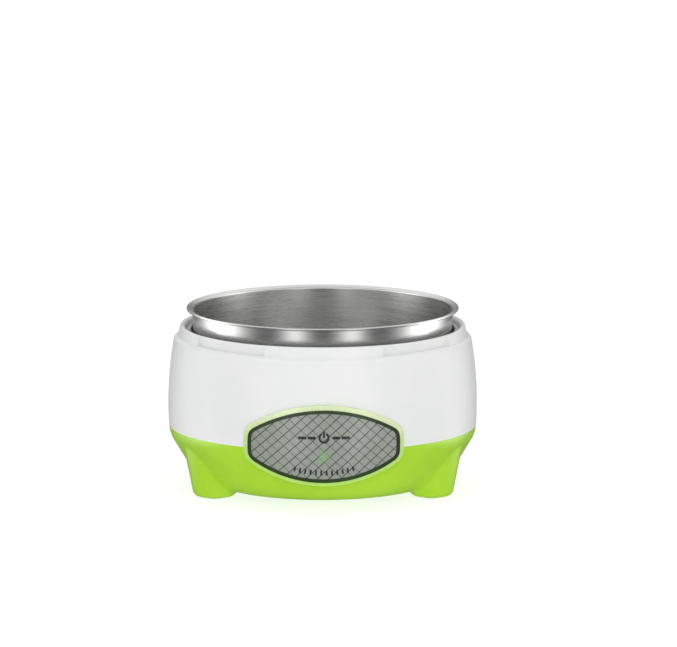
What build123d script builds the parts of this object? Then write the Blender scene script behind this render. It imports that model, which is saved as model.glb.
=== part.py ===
"""Yogurt maker: a round warming base with a lift-out steel pot.

Millimetres. +Z is up and the floor is z = 0. The origin is on the drum's axis, at floor level.
The display panel faces -Y and the mains inlet faces +Y.
"""

import os
from math import asin, atan2, cos, degrees, radians, sin, sqrt, tan

from build123d import *

# ---- driving dimensions ----------------------------------------------------------------------
body_radius = 90.0  # widest point of the drum
bulge_z = 51.0  # height of the widest point
side_arc_radius = 216.0  # the drum's gentle barrel curve, in section
wall = 2.4
fit_gap = 0.1

seam_z = 38.0  # where the white drum meets the green base
belly_z = 3.6  # underside of the base, between the feet
seam_blend_radius = 18.0
flank_angle = 31.0  # lean of the base's side, from vertical
bowl_radius = 24.7

shoulder_z = 87.4
collar_z = 96.8
collar_radius = 83.2
opening_radius = 79.8
collar_foot_z = 90.4

foot_x = 62.9
foot_y = 29.5
foot_radius = 12.2
foot_draft = 0.2  # growth of the foot's radius per unit of height
foot_z = 0.8
foot_top_z = 33.0
foot_round = 3.6
foot_blend = 4.5  # radius where a foot runs into the bowl
foot_pad_radius = 6.5
foot_pad_thickness = 1.8

pot_steel = 0.6
pot_radius = 75.9
pot_foot_radius = 72.6
pot_corner = 14.0
pot_rim_radius = 79.2
pot_rim_z = 107.0
pot_bottom_z = 24.0
rim_bead = 0.75
rim_slope = 20.0  # rise of the flat lip towards its rolled edge, in degrees
lip_bend = 1.2

liner_top_z = 87.3
liner_radius = 77.6
liner_foot_radius = 74.7
liner_wall = 1.7
liner_floor_z = 23.5
liner_corner = 14.5
liner_lip_inner = 76.9  # the lip that closes the gap between the pot and the collar
liner_lip_radius = 79.5
liner_lip_z = 94.0

plate_radius = 47.0
plate_thickness = 1.5
gasket_thickness = 0.6

panel_z = 40.3  # centre of the display panel
panel_half_width = 43.8
panel_half_height = 21.4
panel_arc = 76.0  # radius of its top and bottom edges
panel_side_arc = 60.0
panel_corner = 7.0
panel_face_radius = 91.3
panel_face_z = 54.0
panel_face_arc = 170.0
bezel_width = 2.35
bezel_rise = 0.5  # the frame is wider above the window than below it
trim_width = 2.0

inlet_z = 14.2
inlet_face_y = 80.5


# ---- helpers ---------------------------------------------------------------------------------
def at(point, normal, reach):
    """The point reached from point by going reach along the direction at angle normal, in degrees."""
    return (point[0] + reach * cos(radians(normal)), point[1] + reach * sin(radians(normal)))


def turned(edges):
    """A solid of revolution about Z, from a closed outline in (radius, height)."""
    face = make_face([Plane.XZ * edge for edge in edges])
    return revolve(face, Axis.Z, 360)


def ring(inner, outer, low, high):
    """A plain round ring, or a disc if inner is 0."""
    solid = Pos(0, 0, (low + high) / 2) * Cylinder(outer, high - low)
    if inner:
        solid -= Pos(0, 0, (low + high) / 2) * Cylinder(inner, high - low + 1)
    return solid


def upright(x, y, low, high, radius):
    """A vertical cylinder."""
    return Pos(x, y, (low + high) / 2) * Cylinder(radius, high - low)


def lying(x, z, start, end, radius):
    """A cylinder along Y, from y = start to y = end."""
    return Pos(x, (start + end) / 2, z) * Rot(90, 0, 0) * Cylinder(radius, abs(end - start))


def block(x0, x1, y0, y1, z0, z1):
    """A box between two corners."""
    return Pos((x0 + x1) / 2, (y0 + y1) / 2, (z0 + z1) / 2) * Box(x1 - x0, y1 - y0, z1 - z0)


def screw_up(x, y, head_z, shank, head_radius, head_height, length):
    """A pan-head screw that goes up: the top of its head is at head_z."""
    head = upright(x, y, head_z - head_height, head_z, head_radius)
    head = fillet(head.edges().group_by(Axis.Z)[0], 0.4 * head_height)
    slot = block(x - head_radius, x + head_radius, y - 0.3, y + 0.3, head_z - head_height - 1,
                 head_z - 0.55 * head_height)
    cross = block(x - 0.3, x + 0.3, y - head_radius, y + head_radius, head_z - head_height - 1,
                  head_z - 0.55 * head_height)
    keep = upright(x, y, head_z - head_height - 1, head_z, 0.65 * head_radius)
    return head + upright(x, y, head_z - 0.01, head_z + length, shank) - ((slot + cross) & keep)


def group(solids):
    """Several separate solids as one shape."""
    return Compound(children=list(solids))


def quarters(x, y):
    """The four points that mirror (x, y) in both axes."""
    return [(sx * x, sy * y) for sx in (1, -1) for sy in (1, -1)]


# ---- the drum's and the base's outer surface ---------------------------------------------------
side_centre = (body_radius - side_arc_radius, bulge_z)
seam_normal = -degrees(asin((bulge_z - seam_z) / side_arc_radius))
seam_point = at(side_centre, seam_normal, side_arc_radius)
blend_centre = at(seam_point, seam_normal, -seam_blend_radius)
flank_point = at(blend_centre, -flank_angle, seam_blend_radius)
bowl_z = belly_z + bowl_radius
bowl_r = flank_point[0] - (bowl_radius + sin(radians(flank_angle)) * (flank_point[1] - bowl_z)) / cos(
    radians(flank_angle)
)
bowl_centre = (bowl_r, bowl_z)


def side_radius(z, inset=0.0):
    """The drum's radius at a height above the seam, less a wall thickness."""
    reach = side_arc_radius - inset
    return side_centre[0] + sqrt(reach**2 - (z - bulge_z) ** 2)


def belly_edges(inset):
    """The base's section from the axis out to the seam, inset from the outer surface."""
    bowl = bowl_radius - inset
    blend = seam_blend_radius - inset
    low_flank, high_flank = at(bowl_centre, -flank_angle, bowl), at(blend_centre, -flank_angle, blend)
    bottom, seam = (bowl_r, belly_z + inset), at(blend_centre, seam_normal, blend)
    turn = (-90 - flank_angle) / 2
    return [
        Line((0, belly_z + inset), bottom),
        ThreePointArc(bottom, at(bowl_centre, turn, bowl), low_flank),
        Line(low_flank, high_flank),
        ThreePointArc(high_flank, at(blend_centre, (seam_normal - flank_angle) / 2, blend), seam),
    ]


def base_form(inset):
    """The base as a full solid, up to the seam."""
    seam = at(blend_centre, seam_normal, seam_blend_radius - inset)
    top = [Line(seam, (0, seam[1])), Line((0, seam[1]), (0, belly_z + inset))]
    return turned(belly_edges(inset) + top)


def drum_form(inset, low, high):
    """The drum's barrel as a full solid between two heights."""
    start, end = (side_radius(low, inset), low), (side_radius(high, inset), high)
    middle = (low + high) / 2
    return turned([
        ThreePointArc(start, (side_radius(middle, inset), middle), end),
        Line(end, (0, high)),
        Line((0, high), (0, low)),
        Line((0, low), start),
    ])


def body_form(inset):
    """Base and drum together, to cut what lies against the outside."""
    return base_form(inset) + drum_form(inset, seam_z - 0.01 + 0.0602 * inset, shoulder_z)


# ---- the display panel's outline ---------------------------------------------------------------
def panel_outline(grow):
    """The barrel-shaped outline, as a face in the XZ plane."""
    rise = panel_half_height - panel_arc
    run = panel_half_width - panel_side_arc
    face = Pos(0, panel_z + rise) * Circle(panel_arc + grow)
    face &= Pos(0, panel_z - rise) * Circle(panel_arc + grow)
    face &= Pos(run, panel_z) * Circle(panel_side_arc + grow)
    face &= Pos(-run, panel_z) * Circle(panel_side_arc + grow)
    return Plane.XZ * fillet(face.vertices(), panel_corner + grow)


def panel_prism(grow, near=66.0, far=100.0, lift=0.0):
    """The outline as a bar along Y, on the front side."""
    return Pos(0, -near, lift) * extrude(panel_outline(grow), far - near)


def face_radius(z, inset=0.0):
    reach = panel_face_arc - inset
    return panel_face_radius - panel_face_arc + sqrt(reach**2 - (z - panel_face_z) ** 2)


def face_form(inset):
    """Everything behind the panel's curved front face, less a thickness."""
    low, high = 8.0, 74.0
    start, end = (face_radius(low, inset), low), (face_radius(high, inset), high)
    return turned([
        ThreePointArc(start, (face_radius(41.0, inset), 41.0), end),
        Line(end, (0, high)),
        Line((0, high), (0, low)),
        Line((0, low), start),
    ])


def panel_layer(grow, front, back):
    """The panel's outline between two depths under its front face."""
    return (panel_prism(grow) & face_form(front)) - face_form(back)


# ---- casings -----------------------------------------------------------------------------------
lid_recess_start, lid_recess_end = 24.0, 61.0  # degrees from the front, on each side
lid_recess_radius = 81.8


def lid_recesses():
    """The four stretches of collar that are set back, where a lid's lugs drop in."""
    section = [
        Line((lid_recess_radius, collar_foot_z), (lid_recess_radius, collar_z - 1.2)),
        ThreePointArc((lid_recess_radius, collar_z - 1.2), (81.55, 96.15), (81.0, collar_z - 0.3)),
        Line((81.0, collar_z - 0.3), (81.0, collar_z + 2)),
        Line((81.0, collar_z + 2), (88, collar_z + 2)),
        Line((88, collar_z + 2), (88, collar_foot_z)),
        Line((88, collar_foot_z), (lid_recess_radius, collar_foot_z)),
    ]
    face = make_face([Plane.XZ * edge for edge in section])
    sweep_angle = lid_recess_end - lid_recess_start
    cuts = []
    for start in (-90 + lid_recess_start, 90 - lid_recess_end, 90 + lid_recess_start, -90 - lid_recess_end):
        cuts.append(Rot(0, 0, start) * revolve(face, Axis.Z, sweep_angle))
    return cuts


def upper_shell():
    """The white drum, with the collar round its opening and a skirt that the well hangs from."""
    skirt_z, skirt_radius = liner_top_z + fit_gap, 84.4
    inner_top = (side_radius(86.4, wall), 86.4)
    side_top = (side_radius(shoulder_z), shoulder_z)
    shoulder_end = (85.0, collar_foot_z - 0.55)
    collar_low, collar_high = (84.1, collar_foot_z + 0.4), (collar_radius, collar_z - 1.7)
    shell = turned([
        ThreePointArc(seam_point, (body_radius, bulge_z), side_top),
        ThreePointArc(side_top, (86.35, 89.1), shoulder_end),
        ThreePointArc(shoulder_end, (84.42, collar_foot_z - 0.25), collar_low),
        Line(collar_low, collar_high),
        ThreePointArc(collar_high, (82.85, 96.3), (82.0, collar_z)),
        Line((82.0, collar_z), (81.8, collar_z)),
        ThreePointArc((81.8, collar_z), (80.4, 96.1), (opening_radius, collar_z - 2.4)),
        Line((opening_radius, collar_z - 2.4), (opening_radius, skirt_z)),
        Line((opening_radius, skirt_z), (skirt_radius, skirt_z)),
        Line((skirt_radius, skirt_z), inner_top),
        ThreePointArc(inner_top, (body_radius - wall, bulge_z), (side_radius(seam_z, wall), seam_z)),
        Line((side_radius(seam_z, wall), seam_z), seam_point),
    ])
    for cut in lid_recesses():
        shell -= cut
    shell -= panel_prism(1.0)
    for x, y in liner_screw_places():
        shell -= upright(x, y, skirt_z - 1, 94.3, liner_screw_shank + 0.05)
    return shell


def foot_form(inset, floor_z):
    """A drafted round foot, as a solid from floor_z up into the base."""
    low = foot_radius + foot_draft * (floor_z - foot_z) - inset
    high = foot_radius + foot_draft * (foot_top_z - foot_z) - inset
    cone = Pos(0, 0, (floor_z + foot_top_z) / 2) * Cone(low, high, foot_top_z - floor_z)
    return fillet(cone.edges().group_by(Axis.Z)[0], max(foot_round - inset, 1.0))


def base_shell():
    """The green base: a bowl with four moulded feet, and a flat bay at the back for the inlet."""
    outside = base_form(0)
    inside = base_form(wall)
    for x, y in quarters(foot_x, foot_y):
        outside += Pos(x, y, 0) * foot_form(0, foot_z)
        inside += Pos(x, y, 0) * foot_form(wall, foot_z + 2.8)
    outside &= ring(0, body_radius, 0, seam_point[1])
    creases = [edge for edge in outside.edges() if edge.geom_type == GeomType.BSPLINE]
    outside = fillet(creases, foot_blend)
    bay = block(-18, 18, 52, inlet_face_y, inlet_z - 8, inlet_z + 8)
    bay = fillet(bay.edges().filter_by(Axis.Y), 3)
    outside += bay
    outside -= block(-18.5, 18.5, inlet_face_y, 100, inlet_z - 8.5, inlet_z + 8.5)
    inside += block(-11.2, 11.2, 50, inlet_face_y - wall, inlet_z - 6.2, inlet_z + 6.4)
    inside &= ring(0, body_radius, 0, seam_point[1] + 1)
    lip = ring(85.2, 87.0, seam_z - 4.6, seam_z + 3.5) & drum_form(1.0, seam_z - 5, seam_z + 4)
    lip = chamfer(lip.edges().group_by(Axis.Z)[-1].sort_by(SortBy.RADIUS)[-1], 0.6)
    opening = panel_prism(1.0)
    shell = (outside - inside - opening) + (lip - opening)
    for x, y in base_screw_places():
        shell += upright(x, y, belly_z + 1, base_post_z, 4.6)
        shell -= upright(x, y, 0, base_head_z, 3.3)
        shell -= upright(x, y, 0, base_post_z + 1, base_screw_shank + 0.3)
    for x, y in quarters(foot_x, foot_y):
        shell -= upright(x, y, 0, foot_pad_thickness, foot_pad_radius + 0.05)
    for x in (-inlet_screw_x, inlet_screw_x):
        shell -= lying(x, inlet_z, inlet_face_y - 7.5, inlet_face_y + 1, inlet_screw_shank + 0.05)
    return shell - block(-10.6, 10.6, 70, 90, inlet_z - 6.0, inlet_z + 6.0)


def foot_pads():
    pads = []
    for x, y in quarters(foot_x, foot_y):
        pad = upright(x, y, 0, foot_pad_thickness - 0.02, foot_pad_radius)
        pads.append(fillet(pad.edges().group_by(Axis.Z)[0], 0.4))
    return group(pads)


# ---- the well and its heater ---------------------------------------------------------------------
liner_screw_r = 81.75
liner_screw_shank = 1.0
base_screw_shank = 1.3
base_head_z = 7.0
base_post_z = 9.0
gasket_z = pot_bottom_z - plate_thickness - gasket_thickness
plate_under_z = pot_bottom_z - plate_thickness


def liner_screw_places():
    return [(0, -liner_screw_r), (0, liner_screw_r), (-liner_screw_r, 0), (liner_screw_r, 0)]


def base_screw_places():
    return quarters(34.7, 41.4)


def cup_section(top_r, top_z, foot_r, floor_z, corner, thickness, hole):
    """The section of a round cup, wall and floor, with a hole or 0 in its floor: its outer corner
    is an arc that meets the floor and nearly meets the wall."""
    lean = degrees(atan2(top_r - foot_r, top_z - floor_z - corner))
    centre = (foot_r - corner, floor_z + corner)
    inner_foot, outer_foot = at(centre, -lean, corner), at(centre, -lean, corner + thickness)
    outer_top = (top_r + thickness, top_z)
    return [
        Line((hole, floor_z), (centre[0], floor_z)),
        ThreePointArc((centre[0], floor_z), at(centre, (-90 - lean) / 2, corner), inner_foot),
        Line(inner_foot, (top_r, top_z)),
        Line((top_r, top_z), outer_top),
        Line(outer_top, outer_foot),
        ThreePointArc(outer_foot, at(centre, (-90 - lean) / 2, corner + thickness),
                      (centre[0], floor_z - thickness)),
        Line((centre[0], floor_z - thickness), (hole, floor_z - thickness)),
        Line((hole, floor_z - thickness), (hole, floor_z)),
    ]


def well_liner():
    """The white well that the pot stands in, screwed up under the drum's collar."""
    liner = turned(cup_section(liner_radius, liner_top_z, liner_foot_radius, liner_floor_z,
                               liner_corner, liner_wall, 44.0))
    liner += ring(liner_radius + 0.4, 84.0, liner_top_z - 2.0, liner_top_z)
    collar_lip = ring(liner_radius, liner_lip_radius, liner_top_z - 1.0, liner_lip_z)
    collar_lip += ring(liner_lip_inner, liner_lip_radius, liner_lip_z - 1.4, liner_lip_z)
    liner += fillet(collar_lip.edges().group_by(Axis.Z)[-1], 0.5)
    seat_r = plate_radius + 0.6
    liner += ring(44.0, seat_r + 1.6, gasket_z - 1.6, liner_floor_z - liner_wall + 0.5)
    liner -= ring(0, seat_r, gasket_z, liner_floor_z + 1)
    for x, y in base_screw_places():
        liner += upright(x, y, base_post_z, liner_floor_z - liner_wall + 0.2, 3.8)
        liner -= upright(x, y, base_post_z - 1, 18.5, base_screw_shank + 0.05)
    for x, y in liner_screw_places():
        liner -= upright(x, y, liner_top_z - 3, liner_top_z + 1, liner_screw_shank + 0.4)
    return liner


bracket_screw_x = 23.0
boss_z = 17.5
fuse_x, fuse_y = 0.0, 22.0
fuse_radius = 2.1
clip_screw_y = fuse_y + 6.4


def heat_plate():
    """The aluminium disc under the pot, with bosses for the heater's strap and the fuse's clip."""
    plate = ring(0, plate_radius, plate_under_z, pot_bottom_z - 0.02)
    plate = fillet(plate.edges().group_by(Axis.Z)[-1], 0.5)
    for x in (-bracket_screw_x, bracket_screw_x):
        plate += upright(x, 0, boss_z, plate_under_z + 0.2, 3.5)
        plate -= upright(x, 0, boss_z - 1, plate_under_z - 0.5, 1.5)
    plate += upright(fuse_x, clip_screw_y, plate_under_z - 2.6, plate_under_z + 0.2, 2.8)
    plate -= upright(fuse_x, clip_screw_y, plate_under_z - 3.6, plate_under_z + 0.4, 1.25)
    return plate


def plate_gasket():
    gasket = ring(44.4, plate_radius, gasket_z, plate_under_z)
    return gasket


sleeve_half_x, sleeve_half_y = 17.5, 10.5
film, electrode, pill = 0.2, 0.3, 2.0
stack_low_z = boss_z + 1.0
stack_high_z = stack_low_z + 2 * film + 2 * electrode + pill


def ptc_sleeve():
    """The flat aluminium tube that the heating element is pressed into."""
    sleeve = block(-sleeve_half_x, sleeve_half_x, -sleeve_half_y, sleeve_half_y, boss_z, plate_under_z)
    sleeve = fillet(sleeve.edges().filter_by(Axis.X), 1.2)
    return sleeve - block(-30, 30, -9.6, 9.6, stack_low_z, stack_high_z)


def insulating_film():
    sheets = []
    for low in (stack_low_z, stack_high_z - film):
        sheets.append(block(-16.5, 19.0, -9.5, 9.5, low, low + film))
    return group(sheets)


def ptc_electrodes():
    """Two contact plates, each with a tab that sticks out of the sleeve's right-hand end."""
    plates = []
    for low, side in ((stack_low_z + film, -1), (stack_high_z - film - electrode, 1)):
        plate = block(-13, 13, -8, 8, low, low + electrode)
        tab_low, tab_high = sorted((side * 4.6, side * 7.8))
        plates.append(plate + block(10, 24, tab_low, tab_high, low, low + electrode))
    return group(plates)


def ptc_element():
    low = stack_low_z + film + electrode
    pill_block = block(-12, 12, -7.5, 7.5, low, low + pill)
    return fillet(pill_block.edges().filter_by(Axis.Z), 1.0)


def ptc_bracket():
    """A steel strap that holds the sleeve against the plate."""
    strap = block(-28, 28, -4.2, 4.2, boss_z - 1.2, boss_z)
    strap = fillet(strap.edges().filter_by(Axis.Z), 3.5)
    for x in (-bracket_screw_x, bracket_screw_x):
        strap -= upright(x, 0, boss_z - 3, boss_z + 1, 1.7)
    return strap


def bracket_screws():
    return group(screw_up(x, 0, boss_z - 1.2, 1.45, 2.8, 1.9, 5.4)
                 for x in (-bracket_screw_x, bracket_screw_x))


def thermal_fuse():
    """The one-shot fuse, flat against the plate, with its bare wire ends."""
    z = plate_under_z - fuse_radius
    can = Pos(fuse_x, fuse_y, z) * Rot(0, 90, 0) * Cylinder(fuse_radius, 11)
    can = fillet(can.edges(), 0.5)
    wire = Pos(fuse_x, fuse_y, z) * Rot(0, 90, 0) * Cylinder(0.5, 19)
    return can + wire


def fuse_clip():
    """A sheet-metal saddle over the fuse, held by one screw."""
    z = plate_under_z - fuse_radius
    outer = Pos(fuse_x, fuse_y, z) * Rot(0, 90, 0) * Cylinder(fuse_radius + 0.75, 5)
    saddle = outer & block(-5, 5, fuse_y - 5, fuse_y + 5, z - 5, z)
    saddle += block(-2.5, 2.5, fuse_y - fuse_radius - 0.75, fuse_y - fuse_radius - 0.05, z,
                    plate_under_z - 0.02)
    saddle -= Pos(fuse_x, fuse_y, z) * Rot(0, 90, 0) * Cylinder(fuse_radius + 0.05, 9)
    ear_z = plate_under_z - 2.6
    ear = block(-2.5, 2.5, fuse_y + fuse_radius + 0.05, clip_screw_y + 2.6, ear_z - 0.7, ear_z)
    ear -= upright(fuse_x, clip_screw_y, ear_z - 2, ear_z + 1, 1.4)
    return saddle + ear


def clip_screw():
    return screw_up(fuse_x, clip_screw_y, plate_under_z - 3.3, 1.2, 2.3, 1.5, 3.0)


# ---- the display panel -----------------------------------------------------------------------------
led_z = 35.1
board_y, board_back_y = -82.4, -80.8
board_post_x = 9.0
window_back = 2.0
stack_back = 3.0
hook_x = 18.0


def panel_bezel():
    """The light green frame: a flange on the outside, and a neck with two hooks through the casing."""
    outside = panel_prism(bezel_width, lift=bezel_rise) & face_form(0)
    outside -= body_form(-0.05)
    neck = (panel_prism(0.85) & body_form(-0.5)) - body_form(5.2)
    frame = outside + neck
    frame -= panel_prism(0.05) - face_form(stack_back)
    frame -= panel_prism(-3.6)
    top_z = panel_z + panel_half_height - panel_arc + sqrt((panel_arc + 0.85) ** 2 - hook_x**2)
    for x in (-hook_x, hook_x):
        frame += block(x - 3, x + 3, -84.5, -82.9, top_z - 1.6, top_z + 1.5)
    return frame


def window_trim():
    """The dark ring between the frame and the window."""
    return panel_layer(0.0, 0.35, stack_back - 0.05) - panel_prism(-trim_width)


def panel_window():
    return panel_layer(-trim_width - 0.05, 0.55, window_back)


def panel_backplate():
    """The stiff plate behind the window, with a hole for the lamp and two posts for the board."""
    plate = panel_layer(-trim_width - 0.05, window_back, stack_back - 0.05)
    posts = None
    for x in (-board_post_x, board_post_x):
        post = lying(x, led_z, board_y, -88.5, 2.2) - lying(x, led_z, board_y + 1, -86.6, 0.9)
        posts = post if posts is None else posts + post
    plate += posts & face_form(window_back)
    return plate - lying(0, led_z, -80, -95, 1.7)


def indicator_board():
    board = block(-12, 12, board_y, board_back_y, 27.0, 43.0)
    board = fillet(board.edges().filter_by(Axis.Y), 1.0)
    for x in (-board_post_x, board_post_x):
        board -= lying(x, led_z, -85, -78, 1.1)
    for x, z in ((-1.27, led_z), (1.27, led_z)):
        board -= lying(x, z, -85, -78, 0.4)
    for x in (-lamp_pad_x, lamp_pad_x):
        board -= lying(x, lamp_pad_z, -85, -78, 0.75)
    return board


lamp_pad_x, lamp_pad_z = 4.0, 29.2


def led_lamp():
    """A 3 mm lamp: collar, body, domed tip and two legs through the board."""
    lamp = lying(0, led_z, board_y, board_y - 1.0, 1.6) + lying(0, led_z, board_y, board_y - 3.8, 1.5)
    lamp += Pos(0, board_y - 3.8, led_z) * Sphere(1.5)
    for x in (-1.27, 1.27):
        lamp += lying(x, led_z, board_back_y + 0.8, board_y - 0.5, 0.25)
    return lamp


def board_resistors():
    """Two dropper resistors side by side on the board, below a bent wire at each end."""
    made = []
    for z in (39.2, 41.6):
        body = Pos(0, board_y - 1.35, z) * Rot(0, 90, 0) * Cylinder(1.0, 6.0)
        body = fillet(body.edges(), 0.4)
        made.append(body + Pos(0, board_y - 1.35, z) * Rot(0, 90, 0) * Cylinder(0.3, 9.4))
    return group(made)


def board_diode():
    z = 31.0
    body = Pos(0, board_y - 1.45, z) * Rot(0, 90, 0) * Cylinder(1.2, 4.6)
    return fillet(body.edges(), 0.3) + Pos(0, board_y - 1.45, z) * Rot(0, 90, 0) * Cylinder(0.4, 9.0)


def board_screws():
    made = []
    for x in (-board_post_x, board_post_x):
        head = lying(x, led_z, board_back_y, board_back_y + 1.1, 1.7)
        made.append(head + lying(x, led_z, board_back_y + 0.1, board_y - 3.6, 0.85))
    return group(made)


# ---- the mains inlet --------------------------------------------------------------------------------
inlet_screw_x = 13.4
inlet_screw_shank = 1.0
pin_x = 4.3
inlet_back_y = 64.0
flange_y = inlet_face_y + 1.8


def inlet_mouth():
    """The figure-of-eight recess that the cord's connector plugs into."""
    mouth = None
    for x in (-pin_x, pin_x):
        lobe = lying(x, inlet_z, flange_y - 13.0, flange_y + 1, 4.25)
        mouth = lobe if mouth is None else mouth + lobe
    return mouth + block(-pin_x, pin_x, flange_y - 13.0, flange_y + 1, inlet_z - 3.3, inlet_z + 3.3)


def power_inlet():
    """The two-pin inlet: a screwed flange and a body through the casing."""
    flange = block(-16.4, 16.4, inlet_face_y, flange_y, inlet_z - 6.7, inlet_z + 6.7)
    flange = fillet(flange.edges().filter_by(Axis.Y), 5.0)
    flange = fillet(flange.edges().group_by(Axis.Y)[-1], 0.6)
    body = block(-10.4, 10.4, inlet_back_y, inlet_face_y + 0.5, inlet_z - 5.8, inlet_z + 5.8)
    body = fillet(body.edges().filter_by(Axis.Y), 4.0)
    inlet = flange + body - inlet_mouth()
    for x in (-inlet_screw_x, inlet_screw_x):
        inlet -= lying(x, inlet_z, inlet_face_y - 1, flange_y + 1, inlet_screw_shank + 0.3)
    for x in (-pin_x, pin_x):
        inlet -= lying(x, inlet_z, inlet_back_y - 1, flange_y, pin_radius)
    return inlet


pin_radius = 1.2


def inlet_pins():
    """Round contact pins with a flat tail each, for the leads."""
    pins = []
    for x in (-pin_x, pin_x):
        pin = lying(x, inlet_z, inlet_back_y, flange_y - 3.0, pin_radius)
        pin = fillet(pin.edges().group_by(Axis.Y)[-1], 0.7)
        pins.append(pin + block(x - 1.1, x + 1.1, inlet_back_y - 5.0, inlet_back_y + 0.1,
                                inlet_z - 0.35, inlet_z + 0.35))
    return group(pins)


def inlet_screws():
    made = []
    for x in (-inlet_screw_x, inlet_screw_x):
        head = lying(x, inlet_z, flange_y, flange_y + 1.2, 1.9)
        head = fillet(head.edges().group_by(Axis.Y)[-1], 0.5)
        head -= block(x - 1.3, x + 1.3, flange_y + 0.7, flange_y + 2, inlet_z - 0.25, inlet_z + 0.25)
        head -= block(x - 0.25, x + 0.25, flange_y + 0.7, flange_y + 2, inlet_z - 1.3, inlet_z + 1.3)
        made.append(head + lying(x, inlet_z, flange_y + 0.1, inlet_face_y - 6.5, inlet_screw_shank))
    return group(made)


# ---- fasteners that hold the casings together --------------------------------------------------------
def base_screws():
    return group(screw_up(x, y, base_head_z, base_screw_shank, 2.9, 1.8, 10.5)
                 for x, y in base_screw_places())


def liner_screws():
    return group(screw_up(x, y, liner_top_z - 2.0, liner_screw_shank, 1.9, 1.4, 8.4)
                 for x, y in liner_screw_places())


# ---- wiring -------------------------------------------------------------------------------------------
lead_radius = 0.85
cap_x, cap_y, cap_z = 33.0, 22.0, 12.5
cap_length, cap_radius, cap_bore = 11.0, 3.3, 2.6


def lead(points, bend):
    """An insulated wire along straight runs joined by arcs of one radius."""
    path = FilletPolyline(*points, radius=bend)
    start = Plane(origin=path @ 0, z_dir=path % 0)
    return sweep(start * Circle(lead_radius), path)


def crimp_caps():
    """Closed-end caps over the two joints, each open towards -X."""
    caps = []
    for y in (-cap_y, cap_y):
        cap = Pos(cap_x + cap_length / 2, y, cap_z) * Rot(0, 90, 0) * Cylinder(cap_radius, cap_length)
        cap = fillet(cap.edges().group_by(Axis.X)[-1], 1.5)
        bore = Pos(cap_x + cap_length / 2 - 2, y, cap_z) * Rot(0, 90, 0) * Cylinder(cap_bore, cap_length)
        caps.append(cap - bore)
    return group(caps)


cap_in_x = cap_x + 4.0
strand = 1.1  # offset of a lead inside a cap
fuse_end_x = 9.6
fuse_line_z = plate_under_z - fuse_radius


def live_lead():
    """From the inlet's left-hand pin to the fuse."""
    tail_y = inlet_back_y - 5.0
    return lead([(-pin_x, tail_y - 0.05, inlet_z), (-pin_x, 48, inlet_z), (-20, 38, 14.5), (-22, 26, 18.5),
                 (-17, fuse_y, fuse_line_z), (-fuse_end_x, fuse_y, fuse_line_z)], 2.4)


def neutral_lead():
    """From the inlet's right-hand pin to the joint at the front right."""
    tail_y = inlet_back_y - 5.0
    return lead([(pin_x, tail_y - 0.05, inlet_z), (pin_x, 50, inlet_z - 2), (14, 36, 9.6), (16, 10, 9.2),
                 (17, -14, 9.4), (24, -cap_y, cap_z + 0.9), (cap_in_x, -cap_y, cap_z + strand)], 3.0)


def fuse_lead():
    """From the fuse to the joint at the back right."""
    return lead([(fuse_end_x, fuse_y, fuse_line_z), (16, fuse_y, fuse_line_z), (22, fuse_y, 15.4),
                 (28, cap_y, cap_z + strand), (cap_in_x, cap_y, cap_z + strand)], 2.4)


def heater_leads():
    """From each joint to the tab of the heater on that side."""
    made = []
    for side, z in ((-1, stack_low_z + film + electrode / 2), (1, stack_high_z - film - electrode / 2)):
        made.append(lead([(24.05, side * 6.2, z), (28.5, side * 6.2, z), (29.5, side * 11.5, 16.0),
                          (26.0, side * 18.0, cap_z - 1.2),
                          (30.0, side * (cap_y - strand), cap_z - strand / 2),
                          (cap_in_x, side * (cap_y - strand), cap_z - strand / 2)], 2.0))
    return group(made)


def lamp_leads():
    """From each joint forward under the well, then up to the board behind the panel."""
    joint_z = cap_z - strand / 2
    near = [(cap_in_x, -cap_y - strand, joint_z), (29, -cap_y - strand, joint_z), (25, -30, 10.5),
            (lamp_pad_x, -55, 10.5)]
    far = [(cap_in_x, cap_y + strand, joint_z), (24.5, cap_y + strand, joint_z), (24.5, 14, 8),
           (24.5, -30, 8), (-lamp_pad_x, -50, 8), (-lamp_pad_x, -62, 9.5)]
    made = []
    for start, x in ((near, lamp_pad_x), (far, -lamp_pad_x)):
        rise = [(x, -71, 13.5), (x, -72.5, 25), (x, -76.2, lamp_pad_z), (x, board_back_y, lamp_pad_z)]
        made.append(lead(start + rise, 2.0))
    return group(made)


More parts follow.
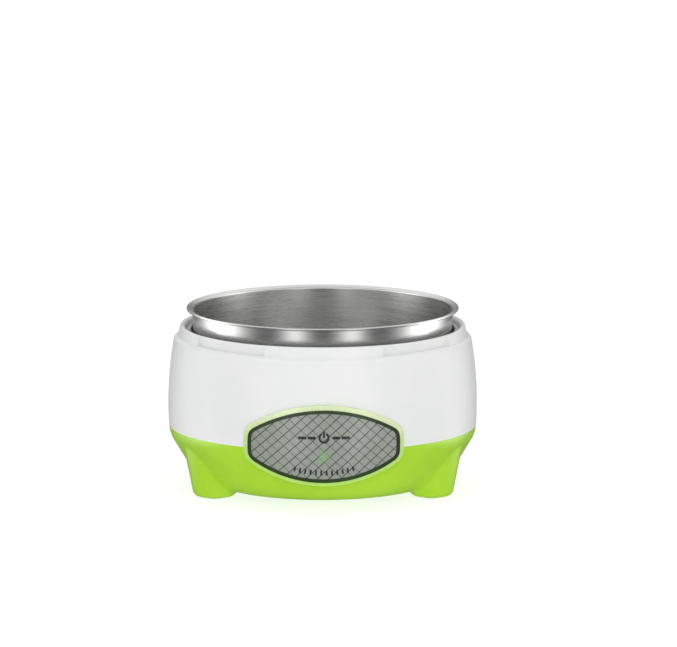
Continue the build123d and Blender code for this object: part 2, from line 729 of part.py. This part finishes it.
# ---- the pot ---------------------------------------------------------------------------------------------
def inner_pot():
    """The deep-drawn steel pot: flat bottom, slightly leaning wall, and a flat lip with a rolled edge."""
    inner_r, inner_foot = pot_radius - pot_steel, pot_foot_radius - pot_steel
    floor = pot_bottom_z + pot_steel
    bead = (pot_rim_radius - rim_bead, pot_rim_z - rim_bead)
    lip_top = pot_rim_z - 0.1 - (bead[0] - inner_r - lip_bend) * tan(radians(rim_slope))
    bend = (inner_r + lip_bend, lip_top - lip_bend / cos(radians(rim_slope)))
    lean = degrees(atan2(inner_r - inner_foot, bend[1] - floor - pot_corner))
    centre = (inner_foot - pot_corner, floor + pot_corner)
    lip_normal = 90 + rim_slope
    foot_in, foot_out = at(centre, -lean, pot_corner), at(centre, -lean, pot_corner + pot_steel)
    bend_in, bend_out = at(bend, lip_normal, lip_bend), at(bend, lip_normal, lip_bend - pot_steel)
    rise = (bead[0] - bend_in[0]) * tan(radians(rim_slope))
    edge_in, edge_out = (bead[0], bend_in[1] + rise), (bead[0], bend_in[1] + rise - pot_steel)
    turn, half_bend = (-90 - lean) / 2, (180 + lip_normal) / 2
    pot = turned([
        Line((0, floor), (centre[0], floor)),
        ThreePointArc((centre[0], floor), at(centre, turn, pot_corner), foot_in),
        Line(foot_in, (inner_r, bend[1])),
        ThreePointArc((inner_r, bend[1]), at(bend, half_bend, lip_bend), bend_in),
        Line(bend_in, edge_in),
        Line(edge_in, edge_out),
        Line(edge_out, bend_out),
        ThreePointArc(bend_out, at(bend, half_bend, lip_bend - pot_steel), (pot_radius, bend[1])),
        Line((pot_radius, bend[1]), foot_out),
        ThreePointArc(foot_out, at(centre, turn, pot_corner + pot_steel), (centre[0], pot_bottom_z)),
        Line((centre[0], pot_bottom_z), (0, pot_bottom_z)),
        Line((0, pot_bottom_z), (0, floor)),
    ])
    return pot + Pos(0, 0, bead[1]) * Torus(bead[0], rim_bead)


NODES = [
    upper_shell, base_shell, foot_pads, well_liner, heat_plate, plate_gasket, ptc_sleeve, ptc_element,
    ptc_electrodes, insulating_film, ptc_bracket, bracket_screws, thermal_fuse, fuse_clip, clip_screw,
    panel_bezel, window_trim, panel_window, panel_backplate, indicator_board, board_screws, led_lamp,
    board_resistors, board_diode, power_inlet, inlet_pins, inlet_screws, base_screws, liner_screws,
    crimp_caps, live_lead, neutral_lead, fuse_lead, heater_leads, lamp_leads, inner_pot,
]

os.makedirs("parts", exist_ok=True)
for make in NODES:
    export_step(make(), f"parts/{make.__name__}.step")
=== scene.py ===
"""Looks of the yogurt maker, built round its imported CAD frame. Metres, +Z up, the panel faces -Y."""

import math

import bmesh
import bpy
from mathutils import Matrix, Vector


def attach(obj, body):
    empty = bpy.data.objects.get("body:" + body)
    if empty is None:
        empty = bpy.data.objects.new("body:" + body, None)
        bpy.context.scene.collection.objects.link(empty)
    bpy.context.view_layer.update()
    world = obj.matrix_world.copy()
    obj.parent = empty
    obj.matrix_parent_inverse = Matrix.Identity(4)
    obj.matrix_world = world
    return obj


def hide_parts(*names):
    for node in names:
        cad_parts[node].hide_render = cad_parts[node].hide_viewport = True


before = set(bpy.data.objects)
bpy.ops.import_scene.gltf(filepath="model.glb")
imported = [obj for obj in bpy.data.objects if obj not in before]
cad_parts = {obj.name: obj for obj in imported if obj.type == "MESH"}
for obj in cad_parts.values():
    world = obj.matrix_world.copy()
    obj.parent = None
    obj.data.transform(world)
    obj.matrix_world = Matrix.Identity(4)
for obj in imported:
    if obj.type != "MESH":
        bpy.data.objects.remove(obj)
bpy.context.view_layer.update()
scene = bpy.context.scene
MM = 0.001


# ---- node helpers --------------------------------------------------------------------------------
def srgb(r, g, b):
    """A linear colour from 0-255 display values."""
    def linear(c):
        c /= 255.0
        return c / 12.92 if c <= 0.04045 else ((c + 0.055) / 1.055) ** 2.4
    return (linear(r), linear(g), linear(b), 1.0)


WHITE = (1.0, 1.0, 1.0, 1.0)
SKIN_SCALE, SKIN_DEPTH = 1400.0, 0.00001


class Nodes:
    """A material's node tree, with short calls for the nodes that this script uses."""

    def __init__(self, name):
        self.material = bpy.data.materials.new(name)
        self.material.use_nodes = True
        self.tree = self.material.node_tree
        self.shader = self.tree.nodes["Principled BSDF"]
        self.where = self.add("ShaderNodeTexCoord").outputs["Object"]

    def add(self, kind, **settings):
        node = self.tree.nodes.new(kind)
        for key, value in settings.items():
            setattr(node, key, value)
        return node

    def put(self, socket, value):
        if isinstance(value, bpy.types.NodeSocket):
            self.tree.links.new(value, socket)
        else:
            socket.default_value = value

    def set(self, **values):
        for key, value in values.items():
            self.put(self.shader.inputs[key.replace("_", " ")], value)
        return self

    def math(self, operation, a, b=0.0, clamp=False):
        node = self.add("ShaderNodeMath", operation=operation, use_clamp=clamp)
        self.put(node.inputs[0], a)
        self.put(node.inputs[1], b)
        return node.outputs[0]

    def mix(self, factor, a, b):
        node = self.add("ShaderNodeMix", data_type="RGBA")
        self.put(node.inputs["Factor"], factor)
        self.put(node.inputs[6], a)
        self.put(node.inputs[7], b)
        return node.outputs[2]

    def ramp(self, value, low, high, out_low=0.0, out_high=1.0):
        node = self.add("ShaderNodeMapRange", interpolation_type="SMOOTHSTEP")
        for socket, v in zip(node.inputs[:5], (value, low, high, out_low, out_high)):
            self.put(socket, v)
        return node.outputs[0]

    def stretch(self, scale):
        node = self.add("ShaderNodeMapping")
        self.put(node.inputs["Vector"], self.where)
        node.inputs["Scale"].default_value = scale
        return node.outputs[0]

    def noise(self, scale, detail=2.0, rough=0.5, where=None):
        node = self.add("ShaderNodeTexNoise")
        self.put(node.inputs["Vector"], where or self.where)
        node.inputs["Scale"].default_value = scale
        node.inputs["Detail"].default_value = detail
        node.inputs["Roughness"].default_value = rough
        return node.outputs["Fac"]

    def xyz(self):
        node = self.add("ShaderNodeSeparateXYZ")
        self.put(node.inputs[0], self.where)
        return node.outputs[0], node.outputs[1], node.outputs[2]

    def bump(self, height, distance, strength=1.0):
        node = self.add("ShaderNodeBump")
        node.inputs["Strength"].default_value = strength
        node.inputs["Distance"].default_value = distance
        self.put(node.inputs["Height"], height)
        return node.outputs[0]


def plastic(name, light, dark, roughness=0.3, coat=0.0, grain=SKIN_DEPTH, subsurface=0.0, sheet_scale=35.0):
    """Moulded plastic: slow drift in colour, fine skin texture, gloss that is not quite even."""
    n = Nodes(name)
    drift = n.noise(sheet_scale, 3.0)
    n.set(Base_Color=n.mix(n.ramp(drift, 0.35, 0.65), dark, light))
    n.set(Roughness=n.ramp(n.noise(180.0, 3.0), 0.3, 0.7, roughness * 0.94, roughness * 1.06))
    n.set(Coat_Weight=coat, Coat_Roughness=0.08, IOR=1.49)
    n.set(Normal=n.bump(n.noise(SKIN_SCALE), grain))
    if subsurface:
        n.set(Subsurface_Weight=subsurface, Subsurface_Scale=0.004, Subsurface_Radius=(1.0, 0.9, 0.7))
    return n


def metal(name, light, dark, roughness=0.3, grain_scale=(400.0, 400.0, 400.0)):
    """Plain metal with a fine grain in its gloss."""
    n = Nodes(name)
    grain = n.noise(1.0, 4.0, 0.6, n.stretch(grain_scale))
    n.set(Base_Color=n.mix(n.ramp(grain, 0.3, 0.7), dark, light), Metallic=1.0)
    n.set(Roughness=n.ramp(grain, 0.3, 0.7, roughness * 0.8, roughness * 1.25))
    n.set(Normal=n.bump(grain, SKIN_DEPTH))
    return n


def dress(nodes, *names):
    """Gives CAD nodes a material."""
    for name in names:
        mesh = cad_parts[name].data
        mesh.materials.clear()
        mesh.materials.append(nodes.material)


# ---- casing materials ------------------------------------------------------------------------------
def white_shell():
    n = plastic("white_shell", srgb(229, 230, 229), srgb(226, 227, 227), roughness=0.34)
    return n.set(Specular_IOR_Level=0.16)


def green_shell():
    n = plastic("green_shell", srgb(171, 218, 50), srgb(165, 212, 43), roughness=0.3, coat=0.1,
                subsurface=0.04)
    return n.set(Specular_IOR_Level=0.3)


def bezel_green():
    """Translucent plastic with painted see-through colour: greener low and paler high by height, standing in
    for the green casing behind its lower part and the white above.
    """
    n = Nodes("bezel")
    z = n.xyz()[2]
    # painted see-through colour: the base colour goes from green at the bottom to pale at the top by height
    rise = n.ramp(z, 0.026, 0.056)
    cloud = n.ramp(n.noise(60.0, 3.0), 0.3, 0.7, -0.12, 0.12)
    n.set(Base_Color=n.mix(n.math("ADD", rise, cloud, True), srgb(176, 222, 108), srgb(216, 238, 184)))
    n.set(Roughness=n.ramp(n.noise(220.0, 2.0), 0.3, 0.7, 0.2, 0.3), Coat_Weight=0.5, Coat_Roughness=0.05)
    n.set(Subsurface_Weight=0.5, Subsurface_Scale=0.004, Subsurface_Radius=(0.8, 1.0, 0.45))
    n.set(Normal=n.bump(n.noise(SKIN_SCALE), SKIN_DEPTH))
    return n


RINGS_PER_TURN, RINGS_PER_METRE = 1.2, 900.0


def steel(name, finish):
    """Stainless steel turned on a lathe: fine rings round the axis, so lights stretch along the wall."""
    n = Nodes(name)
    x, y, z = n.xyz()
    radius = n.math("SQRT", n.math("ADD", n.math("MULTIPLY", x, x), n.math("MULTIPLY", y, y)))
    turn = n.math("ARCTAN2", y, x)
    polar = n.add("ShaderNodeCombineXYZ")
    n.put(polar.inputs[0], n.math("MULTIPLY", turn, RINGS_PER_TURN))
    n.put(polar.inputs[1], n.math("MULTIPLY", radius, RINGS_PER_METRE))
    n.put(polar.inputs[2], n.math("MULTIPLY", z, RINGS_PER_METRE))
    rings = n.noise(1.0, 4.0, 0.65, polar.outputs[0])
    smear = n.noise(24.0, 3.0)
    tone = n.mix(n.ramp(rings, 0.3, 0.7), srgb(187, 187, 186), srgb(196, 196, 195))
    n.set(Base_Color=tone, Metallic=1.0)
    n.set(Roughness=n.math("ADD", n.ramp(rings, 0.3, 0.7, finish * 0.92, finish * 1.06),
                           n.ramp(smear, 0.35, 0.75, 0.0, 0.03)))
    tangent = n.add("ShaderNodeTangent", direction_type="RADIAL", axis="Z")
    n.set(Anisotropic=0.3, Anisotropic_Rotation=0.25, Tangent=tangent.outputs[0])
    n.set(Normal=n.bump(rings, 0.000004))
    return n


# ---- the window's pattern ----------------------------------------------------------------------------
CELL_W, CELL_H = 6.66 * MM, 6.2 * MM
CROSSING_X, CROSSING_Z = 0.17 * MM, 43.64 * MM
LAMP_Z = 34.2 * MM


def window_smoke():
    """Smoke-grey plastic: dark diamond lines, a fine weave between them, and a painted green lamp light round
    the lamp, in its colour and a faint emission.
    """
    n = Nodes("window")
    x, _, z = n.xyz()
    u = n.math("DIVIDE", n.math("SUBTRACT", x, CROSSING_X), CELL_W)
    v = n.math("DIVIDE", n.math("SUBTRACT", z, CROSSING_Z), CELL_H)
    falling, rising = (n.math("PINGPONG", n.math(sign, u, v), 0.5) for sign in ("ADD", "SUBTRACT"))
    near = n.math("MINIMUM", falling, rising)
    line = n.math("MAXIMUM", n.ramp(falling, 0.018, 0.058, 0.72, 0.0),
                  n.ramp(rising, 0.026, 0.07, 1.0, 0.0))
    weave = n.add("ShaderNodeTexWave", bands_direction="DIAGONAL")
    n.put(weave.inputs["Vector"], n.stretch((1500.0, 0.0, 1500.0)))
    weave.inputs["Scale"].default_value = 1.0
    weave.inputs["Distortion"].default_value = 1.5
    fibre = n.math("ADD", n.math("MULTIPLY", weave.outputs["Fac"], 0.5),
                   n.math("MULTIPLY", n.noise(900.0, 3.0), 0.5))
    cell = n.mix(n.ramp(fibre, 0.2, 0.8), srgb(132, 138, 131), srgb(158, 164, 156))
    cell = n.mix(n.ramp(n.noise(55.0, 3.0), 0.35, 0.7, 0.0, 0.3), cell, srgb(122, 134, 118))
    # painted lamp light: a green patch round the lamp, mixed into the window's colour
    away = n.math("SQRT", n.math("ADD", n.math("MULTIPLY", x, x),
                                 n.math("POWER", n.math("SUBTRACT", z, LAMP_Z), 2.0)))
    ragged = n.math("ADD", away, n.ramp(n.noise(420.0, 2.0), 0.3, 0.7, -0.0006, 0.0006))
    painted_lamp_glow = n.ramp(ragged, 0.0018, 0.0042, 1.0, 0.0)
    colour = n.mix(line, cell, srgb(34, 39, 36))
    colour = n.mix(n.math("MULTIPLY", painted_lamp_glow, 0.62), colour, srgb(122, 166, 112))
    n.set(Base_Color=colour, Roughness=n.ramp(fibre, 0.2, 0.8, 0.24, 0.4), Specular_IOR_Level=0.4)
    n.set(Coat_Weight=0.35, Coat_Roughness=0.08)
    # the painted lamp light also makes the window itself emit faintly
    n.set(Emission_Color=srgb(120, 220, 110), Emission_Strength=n.math("MULTIPLY", painted_lamp_glow, 0.02))
    height = n.math("ADD", n.ramp(near, 0.02, 0.09, 0.0, 1.0), n.math("MULTIPLY", fibre, 0.15))
    n.set(Normal=n.bump(height, 0.00008, 0.8))
    return n


dress(white_shell(), "upper_shell")
dress(green_shell(), "base_shell")
dress(bezel_green(), "panel_bezel")
dress(plastic("trim", srgb(44, 64, 27), srgb(35, 53, 21), roughness=0.4), "window_trim")
dress(window_smoke(), "panel_window")
pot_finish = steel("pot_steel", 0.27)
dress(pot_finish, "inner_pot")

# ---- materials of the hidden and small pieces ----------------------------------------------------------
dress(plastic("liner", srgb(178, 180, 180), srgb(170, 172, 172), roughness=0.4), "well_liner")
dress(plastic("backplate", srgb(96, 104, 96), srgb(84, 92, 84), roughness=0.5), "panel_backplate")
dress(plastic("pad", srgb(46, 46, 46), srgb(34, 34, 34), roughness=0.75, grain=0.00004), "foot_pads")
dress(plastic("gasket", srgb(196, 96, 78), srgb(182, 84, 68), roughness=0.55), "plate_gasket")
dress(metal("plate", srgb(214, 216, 218), srgb(196, 198, 200), 0.35, (900.0, 900.0, 60.0)), "heat_plate")
dress(metal("sleeve", srgb(208, 210, 212), srgb(190, 192, 194), 0.4, (90.0, 900.0, 900.0)), "ptc_sleeve")
dress(plastic("film", srgb(214, 150, 52), srgb(196, 130, 40), roughness=0.25, coat=0.4), "insulating_film")
dress(plastic("element", srgb(70, 70, 72), srgb(56, 56, 58), roughness=0.7, grain=0.00004), "ptc_element")
dress(metal("electrode", srgb(220, 220, 216), srgb(202, 202, 198), 0.35), "ptc_electrodes")
dress(metal("spring_steel", srgb(190, 192, 194), srgb(168, 170, 172), 0.3), "ptc_bracket", "fuse_clip")
dress(metal("screw", srgb(198, 199, 201), srgb(172, 174, 178), 0.28), "bracket_screws", "clip_screw",
      "board_screws", "inlet_screws", "base_screws", "liner_screws")
dress(metal("fuse", srgb(226, 208, 150), srgb(206, 186, 128), 0.3), "thermal_fuse")
dress(plastic("board", srgb(58, 138, 76), srgb(44, 118, 62), roughness=0.3, coat=0.4), "indicator_board")
dress(plastic("lamp", srgb(150, 226, 140), srgb(130, 212, 122), roughness=0.1, coat=0.6, subsurface=0.4),
      "led_lamp")
dress(plastic("resistor", srgb(216, 196, 158), srgb(198, 176, 138), roughness=0.35, coat=0.3),
      "board_resistors")
dress(plastic("diode", srgb(40, 40, 42), srgb(28, 28, 30), roughness=0.3, coat=0.2), "board_diode")
dress(plastic("inlet", srgb(230, 231, 228), srgb(221, 222, 219), roughness=0.4), "power_inlet")
dress(metal("pin", srgb(226, 222, 208), srgb(206, 201, 186), 0.2), "inlet_pins")
dress(plastic("cap", srgb(232, 232, 226), srgb(220, 220, 212), roughness=0.4), "crimp_caps")
dress(plastic("lead_brown", srgb(112, 72, 50), srgb(96, 60, 42), roughness=0.45), "live_lead", "fuse_lead")
dress(plastic("lead_blue", srgb(52, 92, 170), srgb(40, 78, 150), roughness=0.45), "neutral_lead")
dress(plastic("lead_white", srgb(230, 230, 226), srgb(218, 218, 214), roughness=0.45), "heater_leads",
      "lamp_leads")


# ---- the pot, turned finely enough for a smooth rim ----------------------------------------------------
# Its sizes are in millimetres, as in the CAD model, and its slopes in degrees.
POT_SEGMENTS = 360
POT_STEEL, POT_INNER, POT_INNER_FOOT, POT_CORNER, POT_FLOOR = 0.6, 75.3, 72.0, 14.0, 24.6
BEAD_X, BEAD_Z, BEAD_R = 78.45, 106.25, 0.75
BEAD_START, BEAD_END = 90.0, -190.0
LIP_BEND, LIP_SLOPE = 1.2, 20.0
LIP_BELOW_BEAD_TOP, LIP_SHORT_OF_BEAD = 0.1, 0.3


def sweep_arc(centre, radius, start, end, steps):
    """Points (across, up) along an arc between two angles in degrees, both ends included."""
    angles = [math.radians(start + (end - start) * i / steps) for i in range(steps + 1)]
    return [(centre[0] + radius * math.cos(a), centre[1] + radius * math.sin(a)) for a in angles]


def pot_profile():
    """The pot's section in mm: from the middle of its floor up the inside, round the bead and down."""
    slope = math.tan(math.radians(LIP_SLOPE))
    lip_top = BEAD_Z + BEAD_R - LIP_BELOW_BEAD_TOP - (BEAD_X - POT_INNER - LIP_BEND) * slope
    bend = (POT_INNER + LIP_BEND, lip_top - LIP_BEND / math.cos(math.radians(LIP_SLOPE)))
    foot = (POT_INNER_FOOT - POT_CORNER, POT_FLOOR + POT_CORNER)
    lean = math.degrees(math.atan2(POT_INNER - POT_INNER_FOOT, bend[1] - foot[1]))
    normal = 90.0 + LIP_SLOPE
    inside = sweep_arc(foot, POT_CORNER, -90.0, -lean, 16)
    inside += sweep_arc(bend, LIP_BEND, 180.0, normal, 8)
    lip_in, outside_bend = inside[-1], sweep_arc(bend, LIP_BEND - POT_STEEL, normal, 180.0, 6)
    lip_end = BEAD_X - LIP_SHORT_OF_BEAD
    inside.append((lip_end, lip_in[1] + (lip_end - lip_in[0]) * slope))
    bead = sweep_arc((BEAD_X, BEAD_Z), BEAD_R, BEAD_START, BEAD_END, 28)
    outside = outside_bend + sweep_arc(foot, POT_CORNER + POT_STEEL, -lean, -90.0, 16)
    return [(0.0, POT_FLOOR)] + inside + bead + outside + [(0.0, POT_FLOOR - POT_STEEL)]


def make_pot(nodes):
    profile = pot_profile()
    bm = bmesh.new()
    columns = []
    for i in range(POT_SEGMENTS):
        turn = math.tau * i / POT_SEGMENTS
        columns.append([bm.verts.new((r * MM * math.cos(turn), r * MM * math.sin(turn), z * MM))
                        for r, z in profile[1:-1]])
    floor_mid = bm.verts.new((0.0, 0.0, profile[0][1] * MM))
    under_mid = bm.verts.new((0.0, 0.0, profile[-1][1] * MM))
    for i in range(POT_SEGMENTS):
        here, there = columns[i], columns[(i + 1) % POT_SEGMENTS]
        bm.faces.new((floor_mid, there[0], here[0]))
        bm.faces.new((under_mid, here[-1], there[-1]))
        for k in range(len(here) - 1):
            bm.faces.new((here[k], there[k], there[k + 1], here[k + 1]))
    bmesh.ops.recalc_face_normals(bm, faces=bm.faces)
    for face in bm.faces:
        face.smooth = True
    mesh = bpy.data.meshes.new("turned_pot")
    bm.to_mesh(mesh)
    bm.free()
    mesh.materials.append(nodes.material)
    piece = bpy.data.objects.new("turned_pot", mesh)
    scene.collection.objects.link(piece)
    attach(piece, "pot")
    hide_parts("inner_pot")


make_pot(pot_finish)


# ---- printed marks on the window ---------------------------------------------------------------------
FACE_ARC, FACE_MIDDLE, FACE_FRONT, FACE_SET_BACK = 170.0 * MM, 54.0 * MM, 91.3 * MM, 0.55 * MM
STROKE_STEP, CAP_STEPS = 0.5 * MM, 6


def window_y(x, z):
    """The window's front surface, in metres: the panel's curved face, set back a little."""
    radius = FACE_FRONT - FACE_ARC + math.sqrt((FACE_ARC - FACE_SET_BACK) ** 2 - (z - FACE_MIDDLE) ** 2)
    return -math.sqrt(radius ** 2 - x ** 2)


def add_stroke(bm, points, width, proud=0.05 * MM, sunk=0.06 * MM):
    """A line of ink with round ends that follows the window's surface, through points in (x, z)."""
    points = [Vector(p) for p in points]
    steps = []
    for a, b in zip(points, points[1:]):
        count = max(1, math.ceil((b - a).length / STROKE_STEP))
        steps += [a.lerp(b, i / count) for i in range(count)]
    steps.append(points[-1])
    outline_left, outline_right = [], []
    for i, p in enumerate(steps):
        ahead = steps[min(i + 1, len(steps) - 1)] - steps[max(i - 1, 0)]
        side = Vector((-ahead.y, ahead.x)).normalized() * width / 2
        outline_left.append(p + side)
        outline_right.append(p - side)

    def cap(centre, start):
        around = [math.pi * k / CAP_STEPS for k in range(1, CAP_STEPS)]
        return [centre + Vector((start.x * math.cos(t) - start.y * math.sin(t),
                                 start.x * math.sin(t) + start.y * math.cos(t))) for t in around]

    edges = list(zip(outline_left, outline_right))

    def raised(p, lift):
        return bm.verts.new((p.x, window_y(p.x, p.y) - lift, p.y))

    top = [(raised(a, proud), raised(b, proud)) for a, b in edges]
    low = [(raised(a, -sunk), raised(b, -sunk)) for a, b in edges]
    for i in range(len(edges) - 1):
        bm.faces.new((top[i][0], top[i][1], top[i + 1][1], top[i + 1][0]))
        bm.faces.new((low[i][0], low[i + 1][0], low[i + 1][1], low[i][1]))
        bm.faces.new((top[i][0], top[i + 1][0], low[i + 1][0], low[i][0]))
        bm.faces.new((top[i][1], low[i][1], low[i + 1][1], top[i + 1][1]))
    for index, start in ((0, outline_left[0] - steps[0]), (-1, outline_right[-1] - steps[-1])):
        arc = cap(steps[index], start)
        first, last = (0, 1) if index == 0 else (1, 0)
        arc_top, arc_low = [raised(p, proud) for p in arc], [raised(p, -sunk) for p in arc]
        loop_top = [top[index][first]] + arc_top + [top[index][last]]
        loop_low = [low[index][first]] + arc_low + [low[index][last]]
        bm.faces.new(loop_top)
        bm.faces.new(list(reversed(loop_low)))
        for a in range(len(loop_top) - 1):
            bm.faces.new((loop_top[a], loop_low[a], loop_low[a + 1], loop_top[a + 1]))


def marks(name, strokes, nodes):
    """One piece of ink, from (points, width) pairs."""
    bm = bmesh.new()
    for points, width in strokes:
        add_stroke(bm, points, width)
    bmesh.ops.recalc_face_normals(bm, faces=bm.faces)
    mesh = bpy.data.meshes.new(name)
    bm.to_mesh(mesh)
    bm.free()
    mesh.materials.append(nodes.material)
    piece = bpy.data.objects.new(name, mesh)
    scene.collection.objects.link(piece)
    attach(piece, "housing")


ink = plastic("ink", srgb(40, 44, 42), srgb(32, 36, 34), roughness=0.35, sheet_scale=300.0)
MARK_Z, MARK_R, MARK_WIDTH = 45.6 * MM, 2.6 * MM, 1.15 * MM
STEM_LOW, STEM_HIGH = 0.4 * MM, 3.5 * MM
BAR_WIDTH, BAR_ENDS = 1.7 * MM, ((5.6 * MM, 8.6 * MM), (10.8 * MM, 14.2 * MM))
standby = [(sweep_arc((0.0, MARK_Z), MARK_R, 128.0, 412.0, 40), MARK_WIDTH),
           ([(0.0, MARK_Z + STEM_LOW), (0.0, MARK_Z + STEM_HIGH)], MARK_WIDTH)]
for side in (-1, 1):
    for start, end in BAR_ENDS:
        standby.append(([(side * start, MARK_Z), (side * end, MARK_Z)], BAR_WIDTH))
marks("standby_mark", standby, ink)

TICK_ARC, TICK_LOW, TICK_WIDTH = 62.0 * MM, 24.6 * MM, 1.05 * MM
TICK_INNER, TICK_OUTER = TICK_ARC - 1.2 * MM, TICK_ARC + 1.0 * MM
TICK_COUNT, TICK_STEP = 12, math.radians(2.85)


def tick(lean):
    """A short stroke that points at the middle of the ticks' arc."""
    centre_z = TICK_LOW + TICK_ARC
    return [(r * math.sin(lean), centre_z - r * math.cos(lean)) for r in (TICK_INNER, TICK_OUTER)]


leans = [(i - (TICK_COUNT - 1) / 2) * TICK_STEP for i in range(TICK_COUNT)]
marks("scale_ticks", [(tick(lean), TICK_WIDTH) for lean in leans], ink)


# ---- floor, light and camera ----------------------------------------------------------------------------
FLOOR_HALF, FLOOR_TONE, FLOOR_GLOW = 12.0, 0.3, 0.78
WALLS, CEILING = 0.17, 0.8
CLOTH, OVERHEAD = 0.13, 1.4
BOXES = ((22.5, 9.0, 1.85), (94.0, 22.0, 3.4))  # bearing, half width in degrees, and brightness
BOX_LOW, BOX_FADE = -0.03, 0.09
SCREEN_RADIUS, SCREEN_LOW, SCREEN_HIGH, SCREEN_SEGMENTS = 0.32, -0.5, 0.6, 180
OVERHEAD_LOW, OVERHEAD_FADE = 0.13, 0.2


def make_floor():
    """A pale floor that glows a little, so that it stays near white. Gloss and metal don't see it."""
    bm = bmesh.new()
    bmesh.ops.create_grid(bm, x_segments=1, y_segments=1, size=FLOOR_HALF)
    mesh = bpy.data.meshes.new("floor")
    bm.to_mesh(mesh)
    bm.free()
    n = Nodes("floor")
    n.set(Base_Color=(FLOOR_TONE, FLOOR_TONE, FLOOR_TONE, 1.0), Roughness=0.9, Specular_IOR_Level=0.1)
    n.set(Emission_Color=WHITE, Emission_Strength=FLOOR_GLOW)
    mesh.materials.append(n.material)
    floor = bpy.data.objects.new("floor", mesh)
    scene.collection.objects.link(floor)
    floor.visible_glossy = False


def make_world():
    """A white room, brighter overhead than at the walls."""
    world = bpy.data.worlds.new("studio")
    scene.world = world
    world.use_nodes = True
    tree = world.node_tree
    shade = tree.nodes["Background"]
    shade.inputs["Color"].default_value = WHITE
    split = tree.nodes.new("ShaderNodeSeparateXYZ")
    tree.links.new(tree.nodes.new("ShaderNodeTexCoord").outputs["Generated"], split.inputs[0])
    rise = tree.nodes.new("ShaderNodeMapRange")
    tree.links.new(split.outputs[2], rise.inputs[0])
    for socket, value in zip(rise.inputs[1:5], (0.0, 1.0, WALLS, CEILING)):
        socket.default_value = value
    tree.links.new(rise.outputs[0], shade.inputs["Strength"])


def make_screen():
    """The screen of soft boxes round the table. Only gloss and metal see it: upright boxes at set bearings
    on a dim cloth, with a pale band over their heads."""
    bm = bmesh.new()
    turns = [math.tau * i / SCREEN_SEGMENTS for i in range(SCREEN_SEGMENTS)]
    low, high = ([bm.verts.new((SCREEN_RADIUS * math.sin(t), -SCREEN_RADIUS * math.cos(t), z)) for t in turns]
                 for z in (SCREEN_LOW, SCREEN_HIGH))
    for i in range(SCREEN_SEGMENTS):
        j = (i + 1) % SCREEN_SEGMENTS
        bm.faces.new((low[i], low[j], high[j], high[i]))
    mesh = bpy.data.meshes.new("screen")
    bm.to_mesh(mesh)
    bm.free()
    n = Nodes("screen")
    x, y, z = n.xyz()
    bearing = n.math("ABSOLUTE", n.math("ARCTAN2", x, n.math("MULTIPLY", y, -1.0)))
    total = CLOTH
    for centre, width, level in BOXES:
        away = n.math("DIVIDE", n.math("SUBTRACT", bearing, math.radians(centre)), math.radians(width))
        shape = n.math("EXPONENT", n.math("MULTIPLY", n.math("MULTIPLY", away, away), -1.0))
        shape = n.math("MULTIPLY", shape, n.ramp(z, BOX_LOW - BOX_FADE, BOX_LOW))
        total = n.math("ADD", total, n.math("MULTIPLY", shape, level))
    rise = n.ramp(z, OVERHEAD_LOW, OVERHEAD_LOW + OVERHEAD_FADE)
    level = n.math("ADD", n.math("MULTIPLY", total, n.math("SUBTRACT", 1.0, rise)),
                   n.math("MULTIPLY", rise, OVERHEAD))
    n.set(Base_Color=(0.0, 0.0, 0.0, 1.0), Specular_IOR_Level=0.0, Roughness=1.0)
    n.set(Emission_Color=WHITE, Emission_Strength=level)
    mesh.materials.append(n.material)
    screen = bpy.data.objects.new("screen", mesh)
    scene.collection.objects.link(screen)
    for kind in ("camera", "diffuse", "transmission", "volume_scatter", "shadow"):
        setattr(screen, f"visible_{kind}", False)


def soft_box(name, place, aim, size, power):
    """A rectangular light that gloss and metal don't see."""
    light = bpy.data.lights.new(name, "AREA")
    light.shape = "RECTANGLE"
    light.size, light.size_y = size
    light.energy = power
    lamp = bpy.data.objects.new(name, light)
    lamp.location = place
    lamp.rotation_euler = (Vector(aim) - Vector(place)).to_track_quat("-Z", "Y").to_euler()
    lamp.visible_glossy = False
    scene.collection.objects.link(lamp)


make_floor()
make_world()
make_screen()
soft_box("top_box", (0.0, 0.0, 2.6), (0.0, 0.0, 0.0), (3.0, 3.0), 24.0)
soft_box("front_box", (0.0, -2.6, 1.1), (0.0, 0.0, 0.05), (1.6, 1.2), 27.0)

ELEVATION, BEARING = math.radians(9.6), math.radians(0.6)
DISTANCE, FRAME_WIDTH, SENSOR = 4.5, 394.4 * MM, 36.0
AIM = Vector((9.26 * MM, 0.0, 96.8 * MM))
camera_data = bpy.data.cameras.new("camera")
camera_data.sensor_width = SENSOR
camera_data.lens = SENSOR * DISTANCE / FRAME_WIDTH
camera_data.clip_end = 60.0
camera = bpy.data.objects.new("camera", camera_data)
level = math.cos(ELEVATION)
back = Vector((-level * math.sin(BEARING), -level * math.cos(BEARING), math.sin(ELEVATION)))
camera.location = AIM + DISTANCE * back
camera.rotation_euler = back.to_track_quat("Z", "Y").to_euler()
scene.collection.objects.link(camera)
scene.camera = camera
scene.view_settings.view_transform = "Standard"
